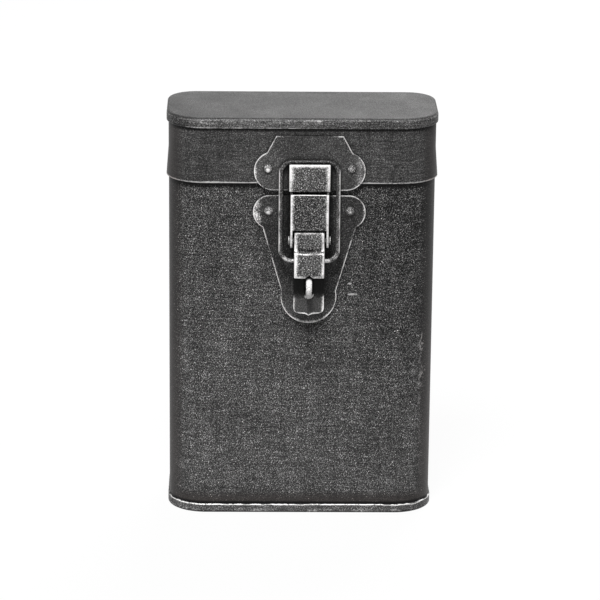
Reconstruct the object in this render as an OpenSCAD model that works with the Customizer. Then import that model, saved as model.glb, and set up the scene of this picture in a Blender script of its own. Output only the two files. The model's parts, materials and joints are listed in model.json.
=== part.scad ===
// Tall rounded tin box with a hinged lid and a draw latch on its front.
// Millimetres, +Z up, origin at the bottom centre, front towards -Y.

/* [Box] */
// Width of the body wall, left to right
body_width = 108.2; // [96:0.2:120]
// Depth of the body wall, front to back
body_depth = 46; // [42:0.5:58]
// Height from the ground to the top of the lid
box_height = 168.2; // [160:0.2:180]
// Outer radius of the two front corners of the body wall
corner_radius = 15; // [11:0.5:17]
// Outer radius of the two back corners of the body wall
back_corner_radius = 11; // [8:0.5:17]
// Thickness of the tin sheet
sheet = 0.8; // [0.6:0.05:0.9]
// Height of the bottom band, turned up from the base plate
band_height = 3.6; // [2.6:0.1:5]
// Thickness of the bottom band outside the wall
band_thickness = 0.6; // [0.5:0.05:0.9]

/* [Lid] */
// Height of the lid from its hem to its top
lid_height = 26.9; // [26:0.1:30]
// Height of the top's edge, rolled down over the skirt
rim_height = 4.3; // [3.4:0.1:5]
// How far the rolled edge stands out from the skirt
rim_proud = 0.8; // [0.6:0.05:1.1]
// Radius of the rolled edge's upper side
rim_round = 1.4; // [1:0.1:1.6]
// How far the skirt's upper part stands outside the body wall
skirt_step = 0.1; // [0.1:0.05:0.3]
// How far the hem flares out from the skirt's upper part
skirt_flare = 0.9; // [0.8:0.05:1.1]
// Height of the flared part of the skirt
flare_height = 12; // [11:0.5:13]
// Gap between the body wall's top edge and the hem
hem_gap = 0.4; // [0.3:0.05:0.6]
// How far the inner collar stands up above the hem
collar_rise = 4; // [3:0.1:4.2]
// How far the inner collar reaches down behind the wall
collar_drop = 6; // [4:0.2:7]

/* [Latch plates] */
// Latch centre line, to the right of the box's centre
latch_offset = 2.8; // [0:0.1:5]
// Thickness of the two latch plates
plate_thickness = 0.8; // [0.6:0.05:0.9]
// Overall width of the upper plate across its ears
catch_width = 44.8; // [43:0.2:48]
// Radius of the upper plate's ears
catch_ear_radius = 7.8; // [7.2:0.1:8.2]
// Width of the upper plate's flat top edge
catch_top_width = 27; // [24:0.5:30]
// Height of the upper plate
catch_height = 22.1; // [21:0.1:23]
// How far the upper plate hangs below the lid's hem
catch_overhang = 2.5; // [1.5:0.1:2.6]
// Overall width of the lower plate across its ears
base_width = 45.4; // [43.6:0.2:48]
// Radius of the lower plate's ears
base_ear_radius = 7; // [6.6:0.1:7.4]
// Gap between the two plates
plate_gap = 2.4; // [1.6:0.1:3]
// Height of the lower plate
base_height = 53.8; // [52.6:0.2:56]
// Radius of the lower plate's round foot
foot_radius = 11.3; // [10.6:0.1:12]
// Distance from the lower plate's top edge down to where its ears end
base_waist_drop = 12.6; // [11.6:0.1:13.6]

/* [Hook, bracket and staple] */
// Width of the raised hook
hook_width = 16.6; // [15:0.1:17]
// Height of the raised hook
hook_height = 11.2; // [10.6:0.1:11.4]
// Clear depth of the hook's pocket behind its lip
hook_pocket = 4.1; // [4:0.05:4.3]
// How far the hook's lip rises above the seat of the loop
lip_rise = 0.95; // [0.8:0.05:1.1]
// Thickness of the hook, the bracket and the lever
pressed_thickness = 0.9; // [0.75:0.05:1]
// Outside width of the pivot bracket
bracket_width = 15.5; // [15:0.1:16.2]
// Height of the bracket's front face
bracket_height = 14.9; // [14:0.1:15.4]
// Diameter of the staple's wire
staple_wire = 2.4; // [2:0.1:2.6]
// Inside height of the staple's eye
staple_gap = 4.6; // [4:0.1:4.8]

/* [Lever and loop] */
// Width of the lever
lever_width = 12.3; // [11.6:0.1:12.6]
// Distance from the lower plate's top edge down to the lever's pivot
pivot_drop = 17.4; // [17:0.1:18]
// Distance from the pivot down to the middle of the staple
staple_drop = 19.2; // [19:0.1:19.4]
// Diameter of the lever's pivot pin
pin_diameter = 2.2; // [1.8:0.1:2.4]
// Distance from the pivot to the lever's lower end
lever_reach = 30.9; // [30:0.1:32]
// Distance from the pivot down to the loop's lower bar
loop_drop = 8.9; // [8.6:0.05:9.2]
// Diameter of the loop's wire
loop_wire = 1.7; // [1.5:0.05:1.8]
// Outside width of the loop
loop_width = 24.8; // [24:0.1:26]
// Corner radius of the loop, to the middle of its wire
loop_corner = 4.4; // [3.4:0.1:4.8]

/* [Back hinge] */
// Length of the hinge
hinge_length = 40; // [30:0.5:50]
// Outer radius of the hinge knuckles
knuckle_radius = 1.7; // [1.6:0.05:1.9]
// Diameter of the hinge pin
hinge_pin_diameter = 1.6; // [1.4:0.05:1.8]
// Distance from the hinge's ends in to its rivets
hinge_rivet_in = 5.5; // [4:0.1:7]
// Height of the body leaf below the hinge axis
body_leaf_drop = 15.3; // [14.6:0.1:17]
// Height of the lid leaf above the hinge axis
lid_leaf_rise = 13.2; // [12.6:0.1:15]

/* [Rivets and fits] */
// Radius of the latch rivets' domed heads
rivet_head_radius = 2; // [1.8:0.05:2.1]
// Height of the rivet heads
rivet_head_height = 1; // [0.8:0.05:1.1]
// Radius of the rivet shanks
rivet_shank_radius = 0.9; // [0.7:0.05:1]
// Running clearance of the pins, on the radius
running_clearance = 0.06; // [0.04:0.01:0.09]

/* [Hidden] */
$fn = 48;
tiny = 0.01;
half_turn = 180;

// Box
half_width = body_width / 2;
half_depth = body_depth / 2;
hem_z = box_height - lid_height;
wall_top = hem_z - hem_gap;
edge_round = 0.4;
base_round = 0.5;

// Lid: how far its faces stand outside the body wall
skirt_out = skirt_step;
hem_out = skirt_step + skirt_flare;
rim_out = skirt_step + rim_proud;
flare_top = hem_z + flare_height;
flare_angle = atan(skirt_flare / flare_height);

// Latch plates, in the X-Z plane, from the latch centre line; shares are of an ear's or the foot's radius
catch_shoulder_share = 0.36;
base_waist_share = 0.48;
join_share = 0.1;
foot_join_share = 0.95;
catch_rivet_out = 0.28;
catch_rivet_up = 1.12;
base_rivet_out = 0.11;
base_rivet_down = 0.94;
catch_bottom = hem_z - catch_overhang;
catch_top = catch_bottom + catch_height;
catch_ear_x = catch_width / 2 - catch_ear_radius;
catch_shoulder_x = catch_ear_x + catch_shoulder_share * catch_ear_radius;
catch_shoulder_z = catch_bottom + (2 - join_share) * catch_ear_radius;
catch_rivet_x = catch_ear_x + catch_rivet_out * catch_ear_radius;
catch_rivet_z = catch_bottom + catch_rivet_up * catch_ear_radius;
base_top = catch_bottom - plate_gap;
base_bottom = base_top - base_height;
base_ear_x = base_width / 2 - base_ear_radius;
base_rivet_x = base_ear_x + base_rivet_out * base_ear_radius;
base_rivet_z = base_top - base_rivet_down * base_ear_radius;
base_waist_x = base_ear_x + base_waist_share * base_ear_radius;
base_waist_z = base_top - base_waist_drop;
foot_z = base_bottom + foot_radius;
foot_join_x = foot_join_share * foot_radius;
foot_join_z = foot_z + join_share * foot_radius;

// Faces across the front, as distances out from the body wall
base_face = plate_thickness;
catch_face_hem = hem_out + plate_thickness;

// Pivot, lever and bracket
pivot_out = 5.9;
pivot_z = base_top - pivot_drop;
// The bracket's top edge stands above the lower plate's, in front of the gap
bracket_rise = 2.35;
pin_radius = pin_diameter / 2;
bracket_out = 8.9;
bracket_top = base_top + bracket_rise;
bracket_bottom = bracket_top - bracket_height;
ear_radius = 3;
pin_head_radius = 1.7;
pin_head_height = 0.75;
lever_upper = 2.5;
lever_lower = 4.4;
lever_head = 4;
lever_head_round = 0.8;
crease_drop = 4;
step_drop = 14.8;
tail_front = -0.7;
tail_back = tail_front - pressed_thickness;
flange_back = -3;
tail_round = 2;
nub_width = 3;
nub_drop = 1.2;
slot_top = 14;
slot_bottom = 24.5;
slot_half = staple_wire / 2 + 0.6;

// Hook on the lid, its bottom a little above the upper plate's
hook_inset = 0.45;
hook_bottom = catch_bottom + hook_inset;
hook_top = hook_bottom + hook_height;
hook_seat = hook_top - lip_rise;
hook_clear = 0.2;
hook_lip_in = skirt_step + plate_thickness + hook_clear + hook_pocket;
hook_lip_out = hook_lip_in + pressed_thickness;

// Loop: its lower bar sits behind the pivot, so the latch holds itself shut
loop_radius = loop_wire / 2;
loop_behind = 1.2;
loop_low_out = pivot_out - loop_behind;
loop_low_z = pivot_z - loop_drop;
loop_high_out = 2.4;
seat_gap = 0.25;
loop_high_z = hook_seat + seat_gap + loop_radius;
loop_length = norm([loop_high_out - loop_low_out, loop_high_z - loop_low_z]);
loop_lean = atan((loop_low_out - loop_high_out) / (loop_high_z - loop_low_z));
loop_half = loop_width / 2 - loop_radius;

// Staple
staple_radius = staple_wire / 2;
staple_bend = staple_gap / 2 + staple_radius;
staple_z = pivot_z - staple_drop;
staple_out = pivot_out + 1;

// Back hinge
hinge_gap = 0.2;
hinge_out = hem_out + hinge_gap + knuckle_radius;
hinge_y = half_depth + hinge_out;
knuckle_gap = 0.3;
middle_half = hinge_length / 6;
hinge_pin_radius = hinge_pin_diameter / 2;
hinge_head_radius = 1.2;
hinge_head_height = 0.5;
hinge_rivet_x = hinge_length / 2 - hinge_rivet_in;
body_rivet_drop = 10.4;
lid_rivet_rise = 8.8;
hinge_rivet_radius = 1.6;
leaf_clear = 0.3;
rivet_tail_radius = 1.4;
rivet_tail_height = 0.4;

tin = [0.23, 0.23, 0.24];
tin_light = [0.35, 0.35, 0.36];
steel = [0.45, 0.45, 0.46];

// Radius of the front corners (back = 0) or of the back corners (back = 1)
function corner(back) = back == 1 ? back_corner_radius : corner_radius;

// Rounded rectangle, grown outwards from the body wall's outline
module outline_2d(out) {
  flat_y = body_depth - corner_radius - back_corner_radius;
  translate([-half_width - out, corner_radius - half_depth]) square([2 * (half_width + out), flat_y]);
  for (back = [0, 1]) {
    r = corner(back);
    mirror([0, 1 - back]) {
      translate([r - half_width, 0]) square([2 * (half_width - r), half_depth + out]);
      for (s = [-1, 1]) translate([s * (half_width - r), half_depth - r]) circle(r + out);
    }
  }
}

// Carries a section, drawn as (distance out from the wall, height), round the box
module round_box() {
  flat_y = body_depth - corner_radius - back_corner_radius;
  for (back = [0, 1]) {
    r = corner(back);
    mirror([0, 1 - back, 0]) {
      translate([0, half_depth, 0]) side(2 * (half_width - r)) children();
      for (turn = [0, 1]) {
        translate([(1 - 2 * turn) * (half_width - r), half_depth - r, 0]) rotate([0, 0, 90 * turn])
          rotate_extrude(angle = 90) translate([r, 0]) children();
      }
    }
  }
  for (turn = [0, 1]) {
    mirror([turn, 0, 0]) translate([half_width, (corner_radius - back_corner_radius) / 2, 0])
      rotate([0, 0, -90]) side(flat_y) children();
  }
}

// One straight side: the section pushed along X, facing +Y
module side(length) {
  translate([-length / 2, 0, 0]) rotate([90, 0, 90]) linear_extrude(length) children();
}

// Cuts the sharp corner at (x, z) of a section to a round; sx and sz point out of the corner
module corner_cut(x, z, radius, sx, sz) {
  translate([x, z]) mirror([sx < 0 ? 1 : 0, 0]) mirror([0, sz < 0 ? 1 : 0])
    translate([-radius, -radius]) difference() {
      square(radius + tiny);
      circle(radius);
    }
}

// A section drawn as (distance out from the front wall, height), pushed along X
module front_bar(width) {
  translate([latch_offset - width / 2, -half_depth, 0]) mirror([0, 1, 0]) rotate([90, 0, 90])
    linear_extrude(width) children();
}

// An outline drawn in the X-Z plane, pushed out from the front wall
module front_sheet(low, high) {
  translate([latch_offset, -half_depth - low, 0]) rotate([90, 0, 0])
    linear_extrude(high - low) children();
}

// Section of a sheet that follows the outside of the lid's skirt
module skirt_band(inner, outer, low, high) {
  polygon([
    [hem_out + inner, low], [hem_out + outer, low],
    [hem_out + outer, hem_z], [skirt_out + outer, flare_top],
    [skirt_out + outer, high], [skirt_out + inner, high],
    [skirt_out + inner, flare_top], [hem_out + inner, hem_z]
  ]);
}

// Distance of the skirt's outer face from the body wall at a height in its flare
function skirt_at(z) = skirt_out + skirt_flare * (flare_top - z) / flare_height;

// Rivet along +Z: the head starts at zero, the shank and its flattened tail go below
module rivet(head_radius, grip) {
  ball = (head_radius * head_radius + rivet_head_height * rivet_head_height)
    / (2 * rivet_head_height);
  intersection() {
    translate([0, 0, rivet_head_height - ball]) sphere(ball);
    cylinder(r = head_radius + tiny, h = ball);
  }
  translate([0, 0, -grip - tiny]) cylinder(r = rivet_shank_radius, h = grip + 2 * tiny);
  translate([0, 0, -grip - rivet_tail_height]) cylinder(r = rivet_tail_radius, h = rivet_tail_height);
}

module rivet_hole(length) {
  cylinder(r = rivet_shank_radius + running_clearance, h = length, center = true);
}

// Places a rivet on the front or the back; out is the distance of its face from the wall
module on_front(x, z, out, lean) {
  translate([latch_offset + x, -half_depth - out, z]) rotate([90 + lean, 0, 0]) children();
}

module on_back(x, z, out, lean) {
  translate([x, half_depth + out, z]) rotate([-90 - lean, 0, 0]) children();
}

module base_rivet_places() {
  for (s = [-1, 1]) on_front(s * base_rivet_x, base_rivet_z, base_face, 0) children();
}

module catch_rivet_places() {
  for (s = [-1, 1]) {
    on_front(s * catch_rivet_x, catch_rivet_z, skirt_at(catch_rivet_z) + plate_thickness, -flare_angle)
      children();
  }
}

module body_hinge_rivet_places() {
  for (s = [-1, 1]) {
    on_back(s * hinge_rivet_x, hem_z - body_rivet_drop, plate_thickness, 0) children();
  }
}

module lid_hinge_rivet_places() {
  z = hem_z + lid_rivet_rise;
  for (s = [-1, 1]) {
    on_back(s * hinge_rivet_x, z, skirt_at(z) + plate_thickness, -flare_angle) children();
  }
}

module body_wall() {
  color(tin) difference() {
    translate([0, 0, sheet]) linear_extrude(wall_top - sheet) difference() {
      outline_2d(0);
      outline_2d(-sheet);
    }
    base_rivet_places() rivet_hole(6 * sheet);
    body_hinge_rivet_places() rivet_hole(6 * sheet);
  }
}

module neck_collar() {
  color(tin_light) translate([0, 0, wall_top - collar_drop])
    linear_extrude(collar_drop + hem_gap + collar_rise) difference() {
      outline_2d(-sheet);
      outline_2d(-2 * sheet);
    }
}

module base_plate() {
  color(tin) {
    linear_extrude(sheet) outline_2d(-base_round);
    round_box() {
      difference() {
        translate([-base_round - tiny, 0]) square([band_thickness + base_round + tiny, band_height]);
        translate([-base_round - 2 * tiny, sheet]) square([base_round + 2 * tiny, band_height]);
        corner_cut(band_thickness, 0, base_round, 1, -1);
        corner_cut(band_thickness, band_height, band_thickness / 2, 1, 1);
      }
    }
  }
}

module latch_base_plate() {
  ear_z = base_top - base_ear_radius;
  color(tin_light) difference() {
    union() {
      for (s = [-1, 1]) {
        front_sheet(0, plate_thickness) translate([s * base_ear_x, ear_z]) circle(base_ear_radius);
      }
      front_sheet(0, plate_thickness) polygon([
        [-base_ear_x, base_top], [base_ear_x, base_top],
        [base_ear_x, ear_z], [base_waist_x, base_waist_z],
        [foot_join_x, foot_join_z], [-foot_join_x, foot_join_z],
        [-base_waist_x, base_waist_z], [-base_ear_x, ear_z]
      ]);
      front_sheet(0, plate_thickness) translate([0, foot_z]) circle(foot_radius);
    }
    base_rivet_places() rivet_hole(6 * sheet);
  }
}

module latch_base_rivets() {
  color(steel) base_rivet_places() rivet(rivet_head_radius, plate_thickness + sheet);
}

// Upright channel on the front: rounded outer edges, open towards the wall
module channel(width, out, low, high) {
  translate([latch_offset, -half_depth, low]) linear_extrude(high - low) difference() {
    union() {
      translate([-width / 2, -out + pressed_thickness]) square([width, out - pressed_thickness]);
      translate([-width / 2 + pressed_thickness, -out]) square([width - 2 * pressed_thickness, out]);
      for (s = [-1, 1]) {
        translate([s * (width / 2 - pressed_thickness), -out + pressed_thickness])
          circle(pressed_thickness);
      }
    }
    translate([-width / 2 + pressed_thickness, -out + pressed_thickness])
      square([width - 2 * pressed_thickness, out]);
  }
}

module pivot_bracket() {
  color(tin_light) difference() {
    channel(bracket_width, bracket_out, pivot_z - 2 * ear_radius, bracket_top);
    // behind the lower plate's face
    front_bar(2 * bracket_width) translate([-bracket_out, 0])
      square([bracket_out + base_face, 2 * box_height]);
    // below the front face only the two ears go on, rounded about the pivot
    front_bar(bracket_width - 2 * pressed_thickness) translate([0, pivot_z - 3 * ear_radius])
      square([2 * bracket_out, bracket_bottom - pivot_z + 3 * ear_radius]);
    front_bar(2 * bracket_width) difference() {
      translate([0, pivot_z - 3 * ear_radius]) square([2 * bracket_out, 3 * ear_radius]);
      translate([0, pivot_z - ear_radius]) square([pivot_out, 2 * ear_radius]);
      translate([pivot_out, pivot_z]) circle(ear_radius);
    }
    front_bar(2 * bracket_width) translate([pivot_out, pivot_z]) circle(pin_radius + running_clearance);
  }
}

module pin_bar(length, radius) {
  translate([latch_offset - length / 2, -half_depth - pivot_out, pivot_z])
    rotate([0, 90, 0]) cylinder(r = radius, h = length);
}

module lever_pin() {
  color(steel) {
    pin_bar(bracket_width + 2 * pin_head_height, pin_radius);
    difference() {
      pin_bar(bracket_width + 2 * pin_head_height, pin_head_radius);
      pin_bar(bracket_width, pin_head_radius + tiny);
    }
  }
}

module padlock_staple() {
  color(steel) translate([latch_offset, -half_depth, staple_z]) {
    for (s = [-1, 1]) {
      translate([0, -base_face, s * staple_bend]) rotate([90, 0, 0])
        cylinder(r = staple_radius, h = staple_out - base_face);
    }
    translate([0, -staple_out, 0]) rotate([0, 90, 0]) rotate([0, 0, half_turn])
      rotate_extrude(angle = half_turn) translate([staple_bend, 0]) circle(staple_radius);
  }
}

// Side view of the lever's sheet, as (distance out from the pivot, height from the pivot)
module lever_sheet_2d() {
  t = pressed_thickness;
  difference() {
    lever_solid_2d();
    polygon([
      [lever_upper - t, lever_head + tiny], [lever_upper - t, -crease_drop - t / 2],
      [lever_lower - t, -crease_drop - t], [lever_lower - t, -step_drop + t],
      [flange_back - tiny, -step_drop + t], [flange_back - tiny, lever_head + tiny]
    ]);
  }
  translate([tail_back, -lever_reach]) square([t, lever_reach - step_drop + t]);
}

module lever_solid_2d() {
  t = pressed_thickness;
  polygon([
    [flange_back, pin_radius + t], [flange_back, -step_drop + 2 * t],
    [tail_back, -step_drop], [lever_lower, -step_drop],
    [lever_lower, -crease_drop], [lever_upper, -crease_drop + t / 2],
    [lever_upper, lever_head - lever_head_round], [lever_upper - lever_head_round, lever_head],
    [0, lever_head], [-pin_radius - t, pin_radius + t]
  ]);
  translate([lever_upper - lever_head_round, lever_head - lever_head_round])
    circle(lever_head_round);
}

// Outline of the lever seen from the front: rounded lower corners and a small point
module lever_front_2d() {
  w = lever_width / 2;
  translate([-w, -lever_reach + tail_round]) square([lever_width, lever_reach + 2 * lever_head]);
  translate([-w + tail_round, -lever_reach]) square([lever_width - 2 * tail_round, tail_round]);
  for (s = [-1, 1]) translate([s * (w - tail_round), -lever_reach + tail_round]) circle(tail_round);
}

module lever() {
  w = lever_width / 2;
  t = pressed_thickness;
  color(tin_light) difference() {
    union() {
      intersection() {
        at_pivot_bar(lever_width) lever_sheet_2d();
        at_pivot_sheet() lever_front_2d();
      }
      for (s = [-1, 1]) {
        translate([s * (w - t / 2), 0, 0]) at_pivot_bar(t) lever_solid_2d();
      }
      translate([latch_offset, -half_depth - pivot_out - tail_back, pivot_z]) rotate([90, 0, 0])
        linear_extrude(t) polygon([
          [-nub_width / 2, -lever_reach + tiny], [0, -lever_reach - nub_drop],
          [nub_width / 2, -lever_reach + tiny]
        ]);
    }
    pin_bar(2 * lever_width, pin_radius + running_clearance);
    front_bar(2 * lever_width) translate([loop_low_out, loop_low_z])
      circle(loop_radius + running_clearance);
    translate([latch_offset - slot_half, -half_depth - 2 * bracket_out, pivot_z - slot_bottom])
      cube([2 * slot_half, 2 * bracket_out, slot_bottom - slot_top]);
  }
}

module at_pivot_bar(width) {
  front_bar(width) translate([pivot_out, pivot_z]) children();
}

module at_pivot_sheet() {
  translate([0, 0, pivot_z]) front_sheet(0, 2 * bracket_out) children();
}

// Loop wire in its own plane: the lower bar on the X axis, the upper bar above it
module wire_loop() {
  straight_x = loop_half - loop_corner;
  straight_z = loop_length - 2 * loop_corner;
  color(steel) translate([latch_offset, -half_depth - loop_low_out, loop_low_z])
    rotate([-loop_lean, 0, 0]) {
      for (z = [0, loop_length]) {
        translate([-straight_x, 0, z]) rotate([0, 90, 0]) cylinder(r = loop_radius, h = 2 * straight_x);
      }
      for (s = [-1, 1]) {
        translate([s * loop_half, 0, loop_corner]) cylinder(r = loop_radius, h = straight_z);
      }
      loop_bend(straight_x, loop_corner + straight_z, 0);
      loop_bend(-straight_x, loop_corner + straight_z, 90);
      loop_bend(-straight_x, loop_corner, 2 * 90);
      loop_bend(straight_x, loop_corner, 3 * 90);
    }
}

module loop_bend(x, z, turn) {
  translate([x, 0, z]) rotate([90, 0, 0]) rotate([0, 0, turn])
    rotate_extrude(angle = 90) translate([loop_corner, 0]) circle(loop_radius);
}

module lid_skirt() {
  top = box_height - sheet;
  color(tin) difference() {
    round_box() difference() {
      skirt_band(-sheet, 0, hem_z, top);
      corner_cut(hem_out, hem_z, edge_round, 1, -1);
    }
    catch_rivet_places() rivet_hole(6 * sheet);
    lid_hinge_rivet_places() rivet_hole(6 * sheet);
  }
}

module lid_top() {
  inner = rim_out - rim_round;
  color(tin_light) {
    translate([0, 0, box_height - sheet]) linear_extrude(sheet) outline_2d(inner);
    round_box() translate([0, box_height]) difference() {
      translate([inner - tiny, -rim_height]) square([rim_round + tiny, rim_height]);
      translate([inner - 2 * tiny, -rim_height - tiny])
        square([skirt_out - inner + 2 * tiny, rim_height - sheet + tiny]);
      corner_cut(rim_out, 0, rim_round, 1, 1);
      corner_cut(rim_out, -rim_height, edge_round, 1, -1);
    }
  }
}

module catch_2d() {
  for (s = [-1, 1]) translate([s * catch_ear_x, catch_bottom + catch_ear_radius]) circle(catch_ear_radius);
  translate([-catch_ear_x, catch_bottom]) square([2 * catch_ear_x, 2 * catch_ear_radius]);
  polygon([
    [-catch_shoulder_x, catch_shoulder_z], [catch_shoulder_x, catch_shoulder_z],
    [catch_top_width / 2, catch_top], [-catch_top_width / 2, catch_top]
  ]);
}

module catch_plate() {
  color(tin_light) difference() {
    intersection() {
      front_bar(2 * catch_width) skirt_band(0, plate_thickness, catch_bottom - 1, box_height);
      front_sheet(0, 2 * catch_face_hem) catch_2d();
    }
    catch_rivet_places() rivet_hole(6 * sheet);
  }
}

module catch_plate_rivets() {
  color(steel) catch_rivet_places() rivet(rivet_head_radius, plate_thickness + sheet);
}

module catch_hook() {
  color(tin_light) difference() {
    channel(hook_width, hook_lip_out, hook_bottom, hook_top);
    // behind the upper plate's face
    front_bar(2 * hook_width) skirt_band(-2 * sheet, plate_thickness, hook_bottom - 1, box_height);
    // the seat of the loop's upper bar, behind the lip
    front_bar(2 * hook_width) translate([-tiny, hook_seat]) square([hook_lip_in + tiny, hook_height]);
  }
}

// Knuckle along X between two places, with its bore left open
module knuckle(low, high) {
  translate([low, hinge_y, hem_z]) rotate([0, 90, 0]) cylinder(r = knuckle_radius, h = high - low);
}

module hinge_bore() {
  translate([-hinge_length, hinge_y, hem_z]) rotate([0, 90, 0])
    cylinder(r = hinge_pin_radius + running_clearance, h = 2 * hinge_length);
}

module hinge_body_leaf() {
  end = hinge_length / 2;
  start = middle_half + knuckle_gap / 2;
  leaf_top = hem_z - knuckle_radius - leaf_clear;
  color(tin_light) difference() {
    union() {
      translate([-end, half_depth, hem_z - body_leaf_drop])
        cube([hinge_length, plate_thickness, leaf_top - hem_z + body_leaf_drop]);
      for (s = [0, 1]) mirror([s, 0, 0]) {
        knuckle(start, end);
        translate([start, half_depth, hem_z - knuckle_radius])
          cube([end - start, hinge_out, knuckle_radius - hem_gap]);
        translate([start, half_depth, leaf_top - tiny])
          cube([end - start, plate_thickness, leaf_clear + 2 * tiny]);
      }
    }
    hinge_bore();
    body_hinge_rivet_places() rivet_hole(6 * sheet);
  }
}

module hinge_lid_leaf() {
  end = hinge_length / 2;
  start = middle_half - knuckle_gap / 2;
  leaf_low = hem_z + knuckle_radius + leaf_clear;
  color(tin_light) difference() {
    union() {
      mirror([0, 1, 0]) translate([-latch_offset, 0, 0]) {
        intersection() {
          front_bar(hinge_length) skirt_band(0, plate_thickness, hem_z, hem_z + lid_leaf_rise);
          translate([latch_offset - end, -2 * half_depth, leaf_low])
            cube([hinge_length, 2 * half_depth, lid_leaf_rise]);
        }
        front_bar(2 * start) skirt_band(0, plate_thickness, hem_z, hem_z + lid_leaf_rise);
        front_bar(2 * start) polygon([
          [hem_out + plate_thickness / 2, hem_z], [hinge_out, hem_z],
          [hinge_out, hem_z + knuckle_radius],
          [skirt_at(hem_z + knuckle_radius) + plate_thickness / 2, hem_z + knuckle_radius]
        ]);
      }
      knuckle(-start, start);
    }
    hinge_bore();
    lid_hinge_rivet_places() rivet_hole(6 * sheet);
  }
}

module hinge_pin() {
  end = hinge_length / 2;
  color(steel) translate([0, hinge_y, hem_z]) rotate([0, 90, 0]) {
    cylinder(r = hinge_pin_radius, h = 2 * (end + hinge_head_height), center = true);
    for (s = [0, 1]) {
      mirror([0, 0, s]) translate([0, 0, end]) cylinder(r = hinge_head_radius, h = hinge_head_height);
    }
  }
}

module hinge_body_rivets() {
  color(steel) body_hinge_rivet_places() rivet(hinge_rivet_radius, plate_thickness + sheet);
}

module hinge_lid_rivets() {
  color(steel) lid_hinge_rivet_places() rivet(hinge_rivet_radius, plate_thickness + sheet);
}

body_wall();
neck_collar();
base_plate();
latch_base_plate();
latch_base_rivets();
pivot_bracket();
lever_pin();
padlock_staple();
hinge_body_leaf();
hinge_pin();
hinge_body_rivets();
lid_skirt();
lid_top();
catch_plate();
catch_hook();
catch_plate_rivets();
hinge_lid_leaf();
hinge_lid_rivets();
lever();
wire_loop();
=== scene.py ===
import json
import math

import bmesh
import bpy
from mathutils import Matrix, Vector


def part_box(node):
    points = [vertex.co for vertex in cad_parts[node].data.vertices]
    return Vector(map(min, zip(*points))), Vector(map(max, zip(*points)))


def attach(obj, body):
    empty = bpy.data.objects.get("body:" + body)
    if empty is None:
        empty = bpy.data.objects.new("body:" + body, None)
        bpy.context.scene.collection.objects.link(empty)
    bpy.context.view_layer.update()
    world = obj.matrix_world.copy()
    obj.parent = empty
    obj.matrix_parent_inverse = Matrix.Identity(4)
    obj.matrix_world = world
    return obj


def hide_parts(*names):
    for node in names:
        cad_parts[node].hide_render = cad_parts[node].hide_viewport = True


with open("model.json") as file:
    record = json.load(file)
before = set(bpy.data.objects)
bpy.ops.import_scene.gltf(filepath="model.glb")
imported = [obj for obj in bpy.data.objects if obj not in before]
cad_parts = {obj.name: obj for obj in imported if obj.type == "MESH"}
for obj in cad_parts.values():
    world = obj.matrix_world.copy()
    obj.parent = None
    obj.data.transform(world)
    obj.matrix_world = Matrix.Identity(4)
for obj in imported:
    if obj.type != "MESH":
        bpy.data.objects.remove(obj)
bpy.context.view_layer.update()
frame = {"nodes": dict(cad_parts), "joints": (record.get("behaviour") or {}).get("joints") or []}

bl_info = {
    "name": "Tall tin box with a draw latch",
    "version": (1, 0, 0),
    "blender": (4, 5, 0),
    "location": "3D View > Sidebar > Tin box",
    "description": "Finishes a hinged tin box in worn gunmetal and sets it on a white stage",
    "category": "Object",
}

MM = 0.001

# the paint: its darkest tone as the eye sees it, its brush marks, and the gaps where it is rubbed
EYE_POWER = 2.2
BLACK = (0.0, 0.0, 0.0, 1.0)
DARKEST = 0.02
PAINT_ROUGHNESS = 0.46
STREAK_DRAWN = 24.0
BAND_SIZE, BAND_DRAWN = 3.0 * MM, 12.0
CLOUD_SIZE = 18 * MM
RUB_GRAIN = 0.55 * MM
RUB_BREAK = 5.0 * MM
# how far the painted shade in hollows looks for nearby surfaces
CREVICE_REACH = 2.2 * MM
COLLAR_TONE = 0.52
STAPLE_TONE = 0.80

# small scratches on the front: the middle (x, z) and the half sizes of each, in millimetres
BODY_SCRATCHES = ((19.6, 99.2, 1.0, 0.6), (20.9, 94.6, 3.0, 0.7), (19.5, 88.3, 1.8, 0.5))
SKIRT_SCRATCHES = ((39.4, 161.4, 0.6, 2.6), (31.0, 152.8, 3.6, 3.4), (35.5, 148.6, 2.0, 1.0))

# the worn patch by the right corner: where it is across, and the heights it starts and ends between
WORN_CORNER_X = 49.2 * MM
WORN_CORNER_START = (36 * MM, 52 * MM)
WORN_CORNER_END = (74 * MM, 84 * MM)
# painted light: below this height the body is painted lighter, as if lit from the floor
LOW_LIGHT_UP_TO = 130 * MM

# how edges are found: the radius looked in, and the turn at which the line starts and is full
PLATE_EDGE = (0.9 * MM, 0.004, 0.08)
TAIL_EDGE = (0.9 * MM, 0.003, 0.08)
SMALL_EDGE = (0.5 * MM, 0.02, 0.3)

# the plates: how much lighter each is than the plates' tone, and the round foot's radius
PLATE_TONES = (("catch_plate", 0.06), ("latch_base_plate", 0.0), ("hinge_body_leaf", 0.04),
               ("hinge_lid_leaf", 0.04))
FOOT_RADIUS = 11.7 * MM

# the stage, in metres; the camera turns by its pan, pitch and roll, in degrees
CAMERA_PLACE = (-0.02408, -1.27057, 0.47753)
CAMERA_TURNS = (1.078, 17.165, 0.558)
LAMP_AIM = (0.0, 0.0, 0.09)
KEY_PLACE, KEY_WIDTH = (-0.14, -0.68, 1.34), 0.40
BACK_PLACE, BACK_WIDTH = (0.30, 1.05, 0.80), 0.60
FLOOR_HEIGHT = -0.05 * MM
FLOOR_GREY = (0.30, 0.30, 0.30, 1.0)
FLOOR_GLOW = 1.04
FLOOR_SEEN_SHARE = 0.9
WHITE = (1.0, 1.0, 1.0, 1.0)


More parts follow.
